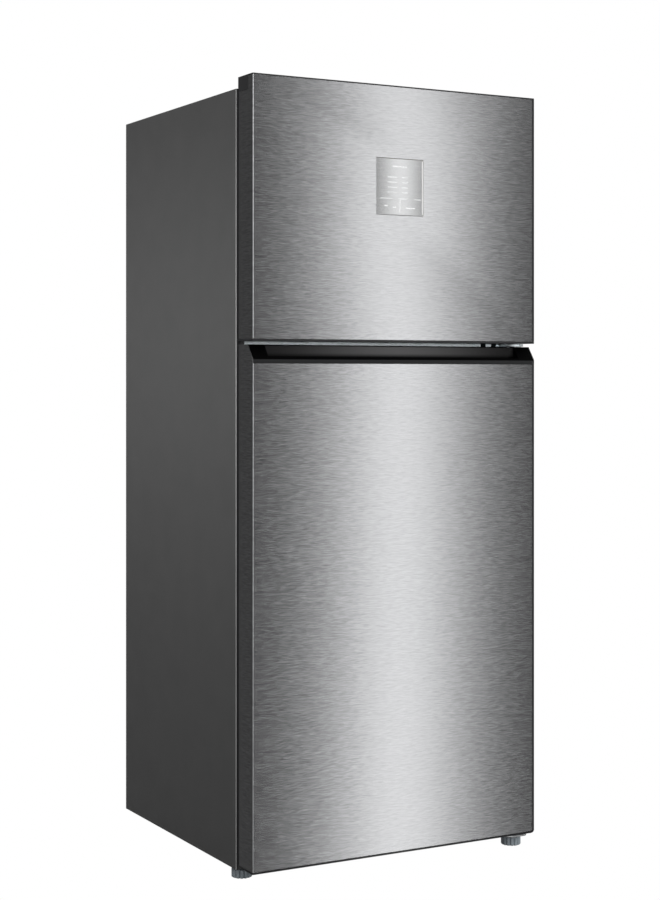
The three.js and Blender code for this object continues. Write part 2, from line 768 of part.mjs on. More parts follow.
// ---------------------------------------------------------------- assembly
assembly([
  ['cabinet_shell', CHARCOAL, cabinetShell()],
  ['back_panel', ZINC, block(-INSIDE, INSIDE, PANEL_FRONT, PANEL_FRONT + SHEET, 258, CABINET_TOP - INNER)],
  ['base_pan', ZINC, across([...panLine(0), ...panLine(SHEET).reverse()], -INSIDE, INSIDE)],
  ['cabinet_foam', FOAM, cabinetFoam()],
  ['freezer_liner', WHITE, freezerLiner()],
  ['fridge_liner', WHITE, fridgeLiner()],
  ['mullion_trim', ZINC, block(
    -HALF + FLANGE + GAP, HALF - FLANGE - GAP,
    CABINET_FRONT, CABINET_FRONT + SHEET,
    MULLION.low, MULLION.high,
  )],
  ['front_rail', ZINC, frontRail()],
  ['compressor_deck', ZINC, compressorDeck()],
  ['compressor', BLACK, compressor()],
  ['drain_tray', BLACK, tub(40, 225, 165, 315, 206, 234)],
  ['suction_pipe', COPPER, suctionPipe()],
  ['compressor_cover', CHARCOAL, compressorCover()],
  ['cord_grommet', RUBBER, cordGrommet()],
  ['rear_spacer_left', BLACK, rearSpacer(-1)],
  ['rear_spacer_right', BLACK, rearSpacer(1)],
  ['top_hinge', ZINC, topHinge()],
  ['top_hinge_cover', CHARCOAL, topHingeCover()],
  ['middle_hinge', ZINC, middleHinge()],
  ['bottom_hinge', ZINC, bottomHinge()],
  ['evaporator', ALUMINIUM, evaporator()],
  ['evaporator_cover', WHITE, evaporatorCover()],
  ['fan_motor', BLACK, fanMotor()],
  ['air_duct', WHITE, airDuct()],
  ['fridge_lamp', CLEAR, block(-60, 60, -80, -40, FRIDGE.high - 8, FRIDGE.high - GAP)],
  ['freezer_shelf', GLASS, block(
    1 - FREEZER.half, FREEZER.half - 1,
    FREEZER_SHELF.front, FREEZER_SHELF.back,
    FREEZER_SHELF.z, FREEZER_SHELF.z + SHELF,
  )],
  ...Object.entries(SHELF_LEVELS).map(([name, z]) => [name, GLASS, shelf(z)]),
  ['ice_maker_frame', WHITE, iceMakerFrame()],
]);

assembly([
  ['freezer_door_skin', DARK_STEEL, freezerDoorSkin()],
  ['freezer_door_foam', FOAM, freezerDoorFoam()],
  ['freezer_door_liner', WHITE, doorLiner(FREEZER, FREEZER_DOOR.low + CAP_DEPTH + GAP, TOP_CAP_LOW - GAP)],
  ['freezer_door_top_cap', GREY, freezerDoorTopCap()],
  ['freezer_door_bottom_cap', BLACK, bottomCap(FREEZER_DOOR.low)],
  ['freezer_door_gasket', RUBBER, gasket(1137, 1638)],
  ['control_panel', GREY, block(
    -PANEL.half, PANEL.half, FRONT, FRONT + PANEL.thick, PANEL.low, PANEL.high,
  )],
  ['freezer_door_upper_bin', CLEAR, doorBin(FREEZER, 1400, 1480)],
  ['freezer_door_lower_bin', CLEAR, doorBin(FREEZER, 1200, 1280)],
]);

assembly([
  ['fridge_door_skin', DARK_STEEL, fridgeDoorSkin()],
  ['fridge_door_foam', FOAM, doorFoam(FRIDGE, FRIDGE_DOOR.low + CAP_DEPTH + GAP, HANDLE.cap - GAP)],
  ['fridge_door_liner', WHITE, doorLiner(FRIDGE, FRIDGE_DOOR.low + CAP_DEPTH + GAP, HANDLE.cap - GAP)],
  ['handle_cap', BLACK, handleCap()],
  ['fridge_door_bottom_cap', BLACK, bottomCap(FRIDGE_DOOR.low)],
  ['fridge_door_gasket', RUBBER, gasket(54, 1103)],
  ['fridge_door_upper_bin', CLEAR, doorBin(FRIDGE, 880, 960)],
  ['fridge_door_middle_bin', CLEAR, doorBin(FRIDGE, 600, 690)],
  ['fridge_door_bottle_bin', CLEAR, doorBin(FRIDGE, 150, 290)],
]);

assembly([['chiller_drawer', CLEAR, chillerDrawer()]]);
assembly([['crisper_drawer_left', CLEAR, crisperDrawer(-290, -3)]]);
assembly([['crisper_drawer_right', CLEAR, crisperDrawer(3, 290)]]);
assembly([['ice_tray', WHITE, iceTray()]]);
assembly([['ice_bin', CLEAR, iceBin()]]);
assembly([['evaporator_fan', BLACK, evaporatorFan()]]);
assembly([['foot_left', FOOT_GREY, foot(LEFT_FOOT)]]);
assembly([['foot_right', FOOT_GREY, foot(RIGHT_FOOT)]]);
assembly([['roller_left', BLACK, roller(-ROLLER.x)]]);
assembly([['roller_right', BLACK, roller(ROLLER.x)]]);

export default refrigerator;
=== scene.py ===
"""The looks of a two-door top-freezer refrigerator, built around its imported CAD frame.

Everything is in metres: +Z up, the doors face -Y, +X is to the right of someone facing them.
"""

import json
import math

import bmesh
import bpy
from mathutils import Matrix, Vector


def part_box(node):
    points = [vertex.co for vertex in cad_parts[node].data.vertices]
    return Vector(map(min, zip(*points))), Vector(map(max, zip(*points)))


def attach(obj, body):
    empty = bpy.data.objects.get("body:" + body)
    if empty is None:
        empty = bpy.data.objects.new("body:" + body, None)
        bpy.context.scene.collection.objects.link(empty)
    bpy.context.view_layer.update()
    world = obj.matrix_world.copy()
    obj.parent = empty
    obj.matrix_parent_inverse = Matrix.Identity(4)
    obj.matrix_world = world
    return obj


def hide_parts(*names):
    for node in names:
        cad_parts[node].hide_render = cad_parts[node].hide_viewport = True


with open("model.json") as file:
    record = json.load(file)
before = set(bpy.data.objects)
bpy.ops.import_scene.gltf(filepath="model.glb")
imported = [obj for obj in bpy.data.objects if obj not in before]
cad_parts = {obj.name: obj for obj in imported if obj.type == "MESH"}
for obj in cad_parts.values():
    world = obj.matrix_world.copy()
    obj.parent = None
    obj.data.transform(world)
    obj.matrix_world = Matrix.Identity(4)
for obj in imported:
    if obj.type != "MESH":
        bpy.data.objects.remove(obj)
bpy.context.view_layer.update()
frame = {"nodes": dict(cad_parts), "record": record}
NODES = frame["nodes"]
MM = 0.001


# ---------------------------------------------------------------- camera
def make_camera():
    """The camera stands off the left front corner and looks level, with some vertical shift."""
    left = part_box("freezer_door_skin")[0].x
    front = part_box("freezer_door_skin")[0].y
    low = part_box("fridge_door_bottom_cap")[0].z
    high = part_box("freezer_door_top_cap")[1].z
    tall = high - low
    # The place, as fractions of the doors' height from their lower left front corner.
    aside = 0.9790
    away = 1.9727
    above = 0.6202
    turn = math.radians(-28.90)
    camera = bpy.data.objects.new("camera", bpy.data.cameras.new("camera"))
    camera.location = (left - aside * tall, front - away * tall, low + above * tall)
    camera.rotation_euler = (math.radians(90), 0, turn)
    camera.data.lens = 70.66
    camera.data.shift_y = -0.0808
    bpy.context.scene.collection.objects.link(camera)
    bpy.context.scene.camera = camera


# ---------------------------------------------------------------- shader helpers
def add(tree, kind, settings=None, **inputs):
    """Adds a shader node. Inputs are sockets to link or plain values, named as on the node."""
    node = tree.nodes.new("ShaderNode" + kind)
    for name, value in (settings or {}).items():
        setattr(node, name, value)
    for name, value in inputs.items():
        key = int(name[1:]) if name[0] == "_" else name.replace("_", " ")
        if isinstance(value, bpy.types.NodeSocket):
            tree.links.new(value, node.inputs[key])
        else:
            node.inputs[key].default_value = value
    return node


def math_node(tree, operation, *values):
    """The output of a Math node."""
    inputs = {f"_{i}": value for i, value in enumerate(values)}
    return add(tree, "Math", {"operation": operation}, **inputs).outputs[0]


def material(name, color, roughness, **inputs):
    """A material with a Principled shader, and its node tree."""
    made = bpy.data.materials.new(name)
    made.use_nodes = True
    shader = made.node_tree.nodes["Principled BSDF"]
    shader.inputs["Base Color"].default_value = (*color, 1)
    shader.inputs["Roughness"].default_value = roughness
    for key, value in inputs.items():
        shader.inputs[key.replace("_", " ")].default_value = value
    return made, made.node_tree, shader


def noise(tree, size, detail=2.0, seed=0.0):
    """Noise in object space whose patches measure size = (x, y, z) metres."""
    place = add(tree, "TexCoord").outputs["Object"]
    stretch = tuple(1 / s for s in size)
    mapping = add(tree, "Mapping", Vector=place, Scale=stretch, Location=(seed, seed, seed))
    return add(tree, "TexNoise", Vector=mapping.outputs[0], Scale=1.0, Detail=detail).outputs["Fac"]


def spread(tree, factor, low, high, start=0.3, end=0.7):
    """Maps a factor between start and end onto low to high."""
    inputs = {"Value": factor, "From_Min": start, "From_Max": end, "To_Min": low, "To_Max": high}
    return add(tree, "MapRange", **inputs).outputs[0]


def tint(tree, factor, dark, light):
    """A colour between dark and light."""
    inputs = {"_0": factor, "_6": (*dark, 1), "_7": (*light, 1)}
    return add(tree, "Mix", {"data_type": "RGBA"}, **inputs).outputs[2]


def shaded(color, scale):
    """A colour made darker or lighter by a scale."""
    return tuple(min(1, c * scale) for c in color)


def bump(tree, shader, height, distance):
    """Gives a shader a bump of that distance in metres."""
    node = add(tree, "Bump", Height=height, Distance=distance, Strength=1.0)
    tree.links.new(node.outputs[0], shader.inputs["Normal"])


# ---------------------------------------------------------------- materials
def brushed_steel(name):
    """Dark stainless steel, brushed along the horizontal."""
    base = (0.50, 0.503, 0.512)
    made, tree, shader = material(
        name, base, 0.25, Metallic=1.0, Anisotropic=0.75, Anisotropic_Rotation=0.25)
    tangent = add(tree, "Tangent", {"direction_type": "RADIAL", "axis": "Z"})
    tree.links.new(tangent.outputs[0], shader.inputs["Tangent"])
    broad = noise(tree, (0.055, 0.055, 0.0034), 3.0)
    fine = noise(tree, (0.017, 0.017, 0.0012), 1.0, 7.0)
    both = math_node(tree, "MULTIPLY_ADD", broad, 0.2, math_node(tree, "MULTIPLY", fine, 0.8))
    color = tint(tree, spread(tree, both, 0, 1), shaded(base, 0.8), shaded(base, 1.19))
    tree.links.new(color, shader.inputs["Base Color"])
    tree.links.new(spread(tree, both, 0.22, 0.27), shader.inputs["Roughness"])
    bump(tree, shader, broad, 0.005 * MM)
    return made


def paint(name, color, roughness, peel=0.012, **inputs):
    """Sprayed paint with a little orange peel."""
    made, tree, shader = material(name, color, roughness, **inputs)
    patch = noise(tree, (0.06, 0.06, 0.06), 3.0)
    grain = noise(tree, (0.0016, 0.0016, 0.0016), 2.0, 3.0)
    patchy = tint(tree, spread(tree, patch, 0, 1), shaded(color, 0.96), shaded(color, 1.04))
    tree.links.new(patchy, shader.inputs["Base Color"])
    matt = spread(tree, grain, roughness - 0.04, roughness + 0.04)
    tree.links.new(matt, shader.inputs["Roughness"])
    bump(tree, shader, grain, peel * MM)
    return made


def galvanised(name, color):
    """Zinc-plated sheet with faint spangle."""
    made, tree, shader = material(name, color, 0.38, Metallic=1.0)
    place = add(tree, "TexCoord").outputs["Object"]
    cells = add(tree, "TexVoronoi", Vector=place, Scale=90.0).outputs["Color"]
    patch = noise(tree, (0.03, 0.03, 0.03), 3.0)
    grey = add(tree, "RGBToBW", Color=cells).outputs[0]
    both = math_node(tree, "MULTIPLY_ADD", grey, 0.5, math_node(tree, "MULTIPLY", patch, 0.5))
    patchy = tint(tree, spread(tree, both, 0, 1), shaded(color, 0.86), shaded(color, 1.12))
    tree.links.new(patchy, shader.inputs["Base Color"])
    tree.links.new(spread(tree, both, 0.32, 0.46), shader.inputs["Roughness"])
    bump(tree, shader, patch, 0.05 * MM)
    return made


def moulded(name, color, roughness, grain_size=0.0009, depth=0.02, variation=0.04, **inputs):
    """Moulded plastic or rubber with a fine spark texture."""
    made, tree, shader = material(name, color, roughness, **inputs)
    patch = noise(tree, (0.05, 0.05, 0.05), 3.0)
    grain = noise(tree, (grain_size,) * 3, 1.0, 5.0)
    patchy = tint(
        tree, spread(tree, patch, 0, 1), shaded(color, 1 - variation), shaded(color, 1 + variation))
    tree.links.new(patchy, shader.inputs["Base Color"])
    matt = spread(tree, grain, roughness - 0.05, roughness + 0.05)
    tree.links.new(matt, shader.inputs["Roughness"])
    bump(tree, shader, grain, depth * MM)
    return made


# One for each material slot of the record.
MATERIALS = {
    "dark_steel": brushed_steel("brushed dark steel"),
    "charcoal_paint": paint("charcoal paint", (0.059, 0.059, 0.059), 0.5, Specular_IOR_Level=0.25),
    "zinc_steel": galvanised("zinc-plated steel", (0.52, 0.535, 0.545)),
    "black_plastic": moulded("black plastic", (0.012, 0.012, 0.013), 0.3),
    "grey_plastic": moulded("grey plastic", (0.112, 0.112, 0.112), 0.45),
    "white_plastic": moulded("white plastic", (0.85, 0.865, 0.87), 0.35, variation=0.01),
    "foam": moulded("polyurethane foam", (0.78, 0.68, 0.4), 0.9, 0.0015, 0.3),
    "seal_rubber": moulded("seal rubber", (0.02, 0.021, 0.022), 0.6),
    "shelf_glass": moulded(
        "toughened glass", (0.85, 0.95, 0.92), 0.05, 0.002, 0.002, Transmission_Weight=1.0, IOR=1.5),
    "clear_plastic": moulded(
        "clear plastic", (0.93, 0.96, 0.965), 0.1, 0.002, 0.01, Transmission_Weight=0.92, IOR=1.15),
    "fin_aluminium": galvanised("aluminium fins", (0.7, 0.71, 0.72)),
    "copper_pipe": galvanised("copper pipe", (0.75, 0.38, 0.2)),
    "foot_plastic": moulded("foot plastic", (0.25, 0.285, 0.31), 0.5),
    "compressor_paint": paint("black enamel", (0.01, 0.01, 0.01), 0.3),
}


def brushed_metal(name, color, roughness, upright_grain=0.0, **inputs):
    """Smooth metal with a faint level grain; its shine spreads level where the grain is upright."""
    made, tree, shader = material(
        name, color, roughness, Metallic=1.0, Anisotropic_Rotation=0.25 + upright_grain, **inputs)
    tangent = add(tree, "Tangent", {"direction_type": "RADIAL", "axis": "Z"})
    tree.links.new(tangent.outputs[0], shader.inputs["Tangent"])
    grain = noise(tree, (0.04, 0.04, 0.0016), 2.0, 11.0)
    patchy = tint(tree, spread(tree, grain, 0, 1), shaded(color, 0.94), shaded(color, 1.05))
    tree.links.new(patchy, shader.inputs["Base Color"])
    matt = spread(tree, grain, roughness - 0.02, roughness + 0.02)
    tree.links.new(matt, shader.inputs["Roughness"])
    bump(tree, shader, grain, 0.0015 * MM)
    return made


def handle_plastic():
    """Black plastic: blackest on the slanted cap, greyer on its lip and on the recess's wall.

    The wall is painted darker low down, under the lip, and towards both ends: painted shade.
    """
    recess = (0.077, 0.076, 0.077)
    slant = (0.0004, 0.0004, 0.0005)
    lip = (0.017, 0.0175, 0.018)
    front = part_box("handle_cap")[0].y
    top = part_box("handle_cap")[1].z
    wall_at = front + 23.4 * MM
    lip_ends = front + 0.6 * MM
    painted_shade_below = top - 24.5 * MM
    painted_shade_ends_above = top - 16.5 * MM
    half_width = 0.31
    made, tree, shader = material("handle plastic", recess, 0.3, Specular_IOR_Level=0.06)
    place = add(tree, "TexCoord").outputs["Object"]
    axes = add(tree, "SeparateXYZ", _0=place).outputs
    inside = math_node(tree, "GREATER_THAN", axes["Y"], wall_at)
    beyond_lip = math_node(tree, "GREATER_THAN", axes["Y"], lip_ends)
    cap = tint(tree, beyond_lip, lip, slant)
    # Painted shade on the recess wall: dark below the lip's edge and towards both end walls.
    rising = add(tree, "MapRange", _0=axes["Z"], _1=painted_shade_below, _2=painted_shade_ends_above).outputs[0]
    smooth = {"interpolation_type": "SMOOTHSTEP"}
    from_left = add(tree, "MapRange", smooth, _0=axes["X"], _1=-half_width, _2=0.02, _3=0.15)
    to_right = add(tree, "MapRange", smooth, _0=axes["X"], _1=0.0, _2=half_width, _3=1.0, _4=0.12)
    across = math_node(tree, "MULTIPLY", from_left.outputs[0], to_right.outputs[0])
    painted_light_share = math_node(tree, "MULTIPLY", rising, across)
    wall = tint(tree, painted_light_share, slant, recess)
    mixed = add(tree, "Mix", {"data_type": "RGBA"}, _0=inside, _6=cap, _7=wall).outputs[2]
    tree.links.new(mixed, shader.inputs["Base Color"])
    grain = noise(tree, (0.0009,) * 3, 1.0, 5.0)
    matt = spread(tree, grain, 0.5, 0.6)
    gloss = math_node(tree, "MULTIPLY_ADD", inside, -0.25, matt)
    tree.links.new(gloss, shader.inputs["Roughness"])
    bump(tree, shader, grain, 0.01 * MM)
    return made


DARK_ZINC = galvanised("dark zinc screws", (0.3, 0.31, 0.32))
BLACK_SCREW = paint("blackened screws", (0.02, 0.03, 0.032), 0.22, Metallic=0.6)
PANEL_METAL = brushed_metal("panel metal", (0.66, 0.665, 0.67), 0.22)
PANEL_PAINTED_SHADE = moulded("panel painted shade", (0.2, 0.2, 0.2), 0.4)
MARK_AND_HIGHLIGHT_PAINT = paint("panel marks and painted highlight", (0.8, 0.805, 0.81), 0.4)
CABINET_EDGE_HIGHLIGHT_PAINT = paint("cabinet edge painted highlight", (0.42, 0.42, 0.42), 0.4)
MULLION_METAL = brushed_metal("bright mullion", (0.86, 0.93, 0.96), 0.28, 0.25, Anisotropic=0.85)
# CAD nodes that don't show their slot's plain material.
LOOKS = {
    "handle_cap": handle_plastic(),
    "mullion_trim": MULLION_METAL,
    "front_rail": DARK_ZINC,
    "middle_hinge": MULLION_METAL,
    "freezer_door_top_cap": moulded("dark top cap", (0.02, 0.02, 0.021), 0.4),
}


# ---------------------------------------------------------------- modelling helpers
class Shape:
    """Vertices and faces in millimetres, gathered before they become one mesh."""

    def __init__(self):
        self.points = []
        self.faces = []

    def loft(self, rings, closed=False):
        """Skins a run of rings with equally many points, capped unless it closes on itself."""
        start = len(self.points)
        count = len(rings[0])
        for ring in rings:
            self.points.extend(ring)
        last = len(rings) if closed else len(rings) - 1
        for i in range(last):
            near = start + i * count
            far = start + (i + 1) % len(rings) * count
            for j in range(count):
                k = (j + 1) % count
                self.faces.append((near + j, near + k, far + k, far + j))
        if not closed:
            self.faces.append(tuple(start + j for j in reversed(range(count))))
            self.faces.append(tuple(start + (len(rings) - 1) * count + j for j in range(count)))
        return self

    def block(self, low, high, round_off=0.0):
        """A box with its four upright edges rounded off."""
        (x0, y0, z0), (x1, y1, z1) = low, high
        return self.loft([rounded(x0, x1, y0, y1, z, round_off) for z in (z0, z1)])


def rounded(x0, x1, y0, y1, z, radius, steps=5):
    """A rectangle at height z with rounded corners, as points."""
    radius = max(radius, 0.01)
    centres = [(x1 - radius, y1 - radius), (x0 + radius, y1 - radius)]
    centres += [(x0 + radius, y0 + radius), (x1 - radius, y0 + radius)]
    ring = []
    for corner, (cx, cy) in enumerate(centres):
        for i in range(steps + 1):
            a = math.radians(90 * (corner + i / steps))
            ring.append((cx + radius * math.cos(a), cy + radius * math.sin(a), z))
    return ring


def upended(ring):
    """Swaps a ring's y and z, so that an outline in plan stands upright facing the front."""
    return [(x, z, y) for x, y, z in ring]


def circle(centre, radius, axis="z", sides=48):
    """Points round a circle about an axis through centre."""
    ring = []
    for i in range(sides):
        a = 2 * math.pi * i / sides
        u, v = radius * math.cos(a), radius * math.sin(a)
        offset = {"x": (0, u, v), "y": (u, 0, v), "z": (u, v, 0)}[axis]
        ring.append(tuple(c + o for c, o in zip(centre, offset)))
    return ring


def lathe(shape, centre, profile, axis="z", sides=48):
    """Turns (radius, distance along the axis) pairs about an axis through centre."""
    along = {"x": (1, 0, 0), "y": (0, 1, 0), "z": (0, 0, 1)}[axis]
    rings = []
    for radius, distance in profile:
        middle = tuple(c + distance * a for c, a in zip(centre, along))
        rings.append(circle(middle, radius, axis, sides))
    return shape.loft(rings)


def piece(name, body, slot, shape, replaces=(), look=None, bevel=0.0, corner=35):
    """Makes one piece from a shape, with its material, its body and the nodes it stands for."""
    mesh = bpy.data.meshes.new(name)
    mesh.from_pydata([tuple(c * MM for c in p) for p in shape.points], [], shape.faces)
    work = bmesh.new()
    work.from_mesh(mesh)
    bmesh.ops.remove_doubles(work, verts=work.verts, dist=0.001 * MM)
    bmesh.ops.recalc_face_normals(work, faces=work.faces)
    work.to_mesh(mesh)
    work.free()
    mesh.shade_smooth()
    mesh.set_sharp_from_angle(angle=math.radians(corner))
    mesh.materials.append(look or MATERIALS[slot])
    made = bpy.data.objects.new(name, mesh)
    bpy.context.scene.collection.objects.link(made)
    if bevel:
        round_edges(made, bevel * MM, 2, corner)
    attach(made, body)
    if replaces:
        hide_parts(*replaces)
    return made


def round_edges(made, width, segments, angle):
    """A bevel modifier on the edges sharper than an angle."""
    bevel = made.modifiers.new("bevel", "BEVEL")
    bevel.width = width
    bevel.segments = segments
    bevel.limit_method = "ANGLE"
    bevel.angle_limit = math.radians(angle)
    bevel.harden_normals = True


def mm_box(node):
    """A node's lowest and highest corners in millimetres."""
    low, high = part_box(node)
    return low / MM, high / MM


# ---------------------------------------------------------------- feet
def levelling_foot(name, node, body):
    """A scalloped plastic foot on a threaded stud."""
    low, high = mm_box(node)
    centre = ((low.x + high.x) / 2, (low.y + high.y) / 2, 0)
    radius = (high.x - low.x) / 2
    scallops = 14
    steps = 10
    disc = 18

    def ring(z, scale, depth):
        """A scalloped outline at a height: a scale of the foot's radius, cut to that depth."""
        points = []
        for i in range(scallops * steps):
            turn = i / (scallops * steps)
            dip = max(0.0, math.cos(2 * math.pi * scallops * turn)) ** 2
            r = radius * scale - depth * dip
            a = 2 * math.pi * turn
            points.append((centre[0] + r * math.cos(a), centre[1] + r * math.sin(a), z))
        return points

    # Each ring's height, its scale and the depth of its scallops.
    section = (
        (0, 0.92, 3.0), (0.9, 0.985, 3.6), (2, 1.0, 3.8), (disc - 2, 1.0, 3.8),
        (disc - 0.6, 0.98, 3.4), (disc, 0.92, 1.8), (disc - 0.6, 0.8, 0),
        (disc - 1.6, 0.45, 0), (disc - 1.2, 0.34, 0),
    )
    rings = [ring(z, scale, depth) for z, scale, depth in section]
    piece(name, body, "foot_plastic", Shape().loft(rings), [node], corner=50)
    stud = Shape()
    profile = [(4.4, disc - 2)]
    z = disc - 1
    while z < high.z - 1.2:
        profile += [(4.2, z), (5.0, z + 0.5)]
        z += 1.0
    profile += [(4.0, high.z)]
    lathe(stud, centre, profile, sides=32)
    piece(name + "_stud", body, "zinc_steel", stud, look=DARK_ZINC)


# ---------------------------------------------------------------- touch panel
def touch_panel():
    """A crowned metal-look panel, a dark line along its top and bottom that is painted shade, and plain
    light marks, one of them a painted highlight down its right side.
    """
    low, high = mm_box("control_panel")
    front, back = low.y, high.y
    width, tall = high.x - low.x, high.z - low.z
    crown = 1.25
    steps = 24
    edge = 0.9

    def depth(x):
        """The crowned face's y at a place across the panel."""
        across = (2 * x - low.x - high.x) / width
        return front + 0.1 + crown * across * across

    face = Shape()
    rings = []
    top = high.z - edge
    bottom = low.z + edge
    for i in range(steps + 1):
        x = low.x + width * i / steps
        y = depth(x)
        rings.append([(x, y, bottom), (x, y, top), (x, back, top), (x, back, bottom)])
    face.loft(rings)
    piece("touch_panel_face", "freezer_door", "grey_plastic", face, ["control_panel"], look=PANEL_METAL)

    lines = Shape()
    # Dark strips along the top and bottom: painted shade on the walls of the panel's recess.
    for z0, z1 in ((low.z, bottom), (top, high.z)):
        lines.block((low.x, front + 0.9, z0), (high.x, back - 4, z1), 0.3)
    piece("touch_panel_painted_shade", "freezer_door", "grey_plastic", lines, look=PANEL_PAINTED_SHADE)

    marks = Shape()
    raised = 0.06
    thick = 0.4

    def mark(u0, u1, v0, v1, bars=1):
        """A row of small raised bars between fractions of the panel, from its top left."""
        pitch = (u1 - u0) / bars
        for i in range(bars):
            x0 = low.x + width * (u0 + i * pitch)
            x1 = x0 + width * pitch * (0.78 if bars > 1 else 1)
            z1 = high.z - tall * v0
            z0 = high.z - tall * v1
            y = min(depth(x0), depth(x1)) - raised
            marks.block((x0, y, z0), (x1, y + thick, z1))

    # A heading, four rows of two groups, a broken rule, an upright line, a line down the right side
    # that is a painted highlight, and three small groups at the bottom.
    mark(0.34, 0.66, 0.132, 0.148, 6)
    for v in (0.33, 0.42, 0.51, 0.60):
        mark(0.24, 0.44, v - 0.006, v + 0.006, 4)
        mark(0.55, 0.68, v - 0.006, v + 0.006, 3)
    for u0, u1 in ((0.08, 0.33), (0.47, 0.66), (0.82, 0.96)):
        mark(u0, u1, 0.705, 0.714)
    mark(0.496, 0.506, 0.73, 0.95)
    # The line down the right side is a painted highlight on the recess's lit right wall.
    mark(0.983, 1.0, 0.02, 0.98)
    mark(0.17, 0.25, 0.83, 0.85, 2)
    mark(0.35, 0.42, 0.85, 0.87, 2)
    mark(0.63, 0.83, 0.86, 0.88, 4)
    piece("touch_panel_marks_and_highlight", "freezer_door", "white_plastic", marks, look=MARK_AND_HIGHLIGHT_PAINT)


# ---------------------------------------------------------------- screws and hinges
def screw(shape, centre, radius, axis="y", out=-1, sides=28):
    """A pan head with a dimple, its washer face at centre, standing out along an axis."""
    h = radius * 0.55
    profile = [
        (radius * 1.25, 0), (radius * 1.25, 0.4), (radius, 0.5), (radius, h * 0.55),
        (radius * 0.8, h * 0.92), (radius * 0.45, h), (radius * 0.3, h * 0.6), (radius * 0.05, h * 0.5),
    ]
    lathe(shape, centre, [(r, out * d) for r, d in profile], axis, sides)


def hinge_screws():
    """Screws in the hinges: two dark ones show in the gap between the doors."""
    hinge_face = mm_box("mullion_trim")[0].y - 3.3
    gap_middle = 1120.2
    shape = Shape()
    for x in (261, 289):
        screw(shape, (x, hinge_face, gap_middle), 5.4)
    piece("middle_hinge_screws", "cabinet", "zinc_steel", shape, look=BLACK_SCREW)
    cover_top = mm_box("top_hinge_cover")[1].z
    shape = Shape()
    for x in (275, 325):
        screw(shape, (x, -205, cover_top - 0.5), 3.6, "z", 1)
    piece("top_hinge_cover_screws", "cabinet", "zinc_steel", shape, look=DARK_ZINC)
    under = mm_box("bottom_hinge")[0].z
    shape = Shape()
    for y in (-198, -240):
        screw(shape, (306, y, under), 4.2, "z", -1)
    piece("bottom_hinge_screws", "cabinet", "zinc_steel", shape, look=DARK_ZINC)


# ---------------------------------------------------------------- door seals and trims
def seal(name, node, body):
    """A magnetic door seal: a folded bellows swept round the door with mitred corners."""
    low, high = mm_box(node)
    y0, y1 = low.y, high.y
    profile = [
        (2, y0), (1, y0 + 1.3), (4, y0 + 2.3), (1.4, y0 + 3.3), (0, y0 + 4.4), (0, y1 - 0.4), (0.6, y1),
        (15.4, y1), (16, y1 - 0.4), (16, y0 + 4.4), (12.6, y0 + 3.3), (14.6, y0 + 2.3), (13, y0 + 1.3),
        (13, y0),
    ]
    corners = (
        (low.x, low.z, 1, 1), (high.x, low.z, -1, 1), (high.x, high.z, -1, -1), (low.x, high.z, 1, -1),
    )
    rings = []
    for x, z, dx, dz in corners:
        rings.append([(x + dx * inset, y, z + dz * inset) for inset, y in profile])
    piece(name, body, "seal_rubber", Shape().loft(rings, closed=True), [node], corner=30)


def shelf_trims():
    """White edging along the front of each glass shelf, with the half width it covers."""
    levels = (
        ("freezer_shelf", 272), ("top_shelf", 285), ("middle_shelf", 285), ("lower_shelf", 285),
        ("crisper_cover", 285),
    )
    for node, half in levels:
        low, high = mm_box(node)
        y, z, top = low.y, low.z, high.z
        profile = [
            (y - 2, z - 3), (y - 3, z - 2), (y - 3, top - 0.8), (y - 2, top + 0.2), (y + 6, top + 0.2),
            (y + 6, top + 0.02), (y - 0.02, top + 0.02), (y - 0.02, z - 0.02), (y + 6, z - 0.02),
            (y + 6, z - 3),
        ]
        rings = [[(x, py, pz) for py, pz in profile] for x in (-half, half)]
        piece(node + "_edging", "cabinet", "white_plastic", Shape().loft(rings), bevel=0.3)


# ---------------------------------------------------------------- bins and drawers
def tub_rings(low, high, wall, radius, back_at):
    """Rings over a tub's inside, its rim and its outside, with a slightly wider rim."""
    rim = 9
    floor = low.z + wall
    section = (
        (wall + 7, floor), (wall + 2.4, floor + 0.9), (wall + 0.9, floor + 4), (wall, floor + 9),
        (wall, high.z - 1), (wall - 0.6, high.z - 0.2), (0.6, high.z - 0.2), (0, high.z - 0.8),
        (0, high.z - rim), (1.2, high.z - rim - 1), (1.2, low.z + 8), (2, low.z + 3),
        (3.6, low.z + 0.8), (8, low.z),
    )
    rings = []
    for inset, z in section:
        corner = max(radius - inset, 2)
        left, right = low.x + inset, high.x - inset
        rings.append(rounded(left, right, low.y + inset, back_at(z) - inset, z, corner, 6))
    return rings


def tub_piece(name, node, body, radius, back_at=None, front=0.0):
    """A clear moulded tub with rounded corners and a rim, in a node's place.

    Its front may stand behind the node's, and back_at gives a sloping back's y at a height.
    """
    low, high = mm_box(node)
    low = low + Vector((0, front, 0))
    wall = 2.4

    def upright_back(z):
        """The same y at every height."""
        return high.y

    shape = Shape().loft(tub_rings(low, high, wall, radius, back_at or upright_back))
    piece(name, body, "clear_plastic", shape, [node], corner=40)


def door_bins():
    """The door's bins, each with a pale band along the side that faces the cabinet."""
    bins = (
        ("freezer_door_upper_bin", "freezer_door"), ("freezer_door_lower_bin", "freezer_door"),
        ("fridge_door_upper_bin", "fridge_door"), ("fridge_door_middle_bin", "fridge_door"),
        ("fridge_door_bottle_bin", "fridge_door"),
    )
    for node, body in bins:
        tub_piece(node + "_tub", node, body, radius=18)
        low, high = mm_box(node)
        y = high.y - 1.2
        z0, z1 = high.z - 28, high.z - 14
        outline = rounded(low.x + 22, high.x - 22, z0, z1, y - 0.2, 6)
        inner = rounded(low.x + 23, high.x - 23, z0 + 1, z1 - 1, y + 1, 5)
        piece(node + "_band", body, "white_plastic", Shape().loft([upended(outline), upended(inner)]))


